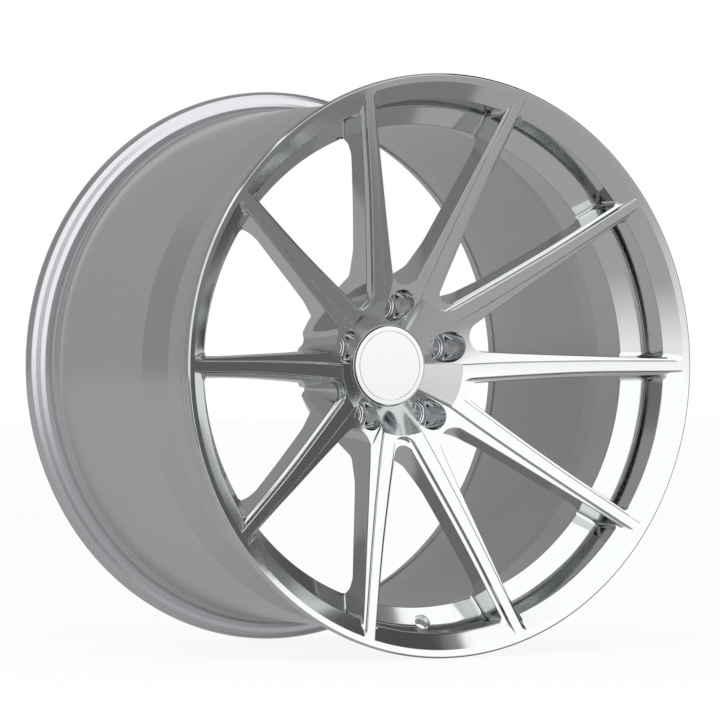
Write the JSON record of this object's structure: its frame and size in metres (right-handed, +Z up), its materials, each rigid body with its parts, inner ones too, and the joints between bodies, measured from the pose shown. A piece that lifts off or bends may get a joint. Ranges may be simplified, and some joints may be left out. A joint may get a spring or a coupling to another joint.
{
  "type": "forged racing wheel rim",
  "caption": "Deep concave road wheel with slim milled spokes, a painted barrel with a drop well, empty lug and valve holes, and a snap-in centre cap.",
  "frame": {"origin": "on the axle line, midway between the front lip and the rear edge", "axes": "+Y along the axle towards the car, so the milled face looks to -Y; +Z up; +X to the right seen from the face"},
  "size_m": [0.543, 0.34, 0.543],
  "materials": {
    "milled_aluminium": "polished",
    "silver_paint": "satin silver paint",
    "seat_steel": "bright",
    "cap_silver": "polished",
    "badge_white": "gloss",
    "clip_black": "matte",
    "spring_steel": "bright",
    "seal_black": "matte"
  },
  "bodies": {
    "wheel": {"wheel_centre": "milled_aluminium", "rim_barrel": "silver_paint", "lug_seat_1": "seat_steel", "lug_seat_2": "seat_steel", "lug_seat_3": "seat_steel", "lug_seat_4": "seat_steel", "lug_seat_5": "seat_steel"},
    "spring_ring": {"cap_spring_ring": "spring_steel"},
    "cap": {"cap_bezel": "cap_silver", "cap_badge": "badge_white", "cap_clip_carrier": "clip_black", "cap_seal": "seal_black"}
  },
  "joints": [
    {"name": "cap_pull", "type": "slide", "parent": "wheel", "child": "spring_ring", "axis": [0, -1, 0], "range_m": [0, 0.06]},
    {"name": "cap_turn", "type": "hinge", "parent": "spring_ring", "child": "cap", "pos_m": [0, -0.036, 0], "axis": [0, -1, 0], "continuous": true}
  ]
}
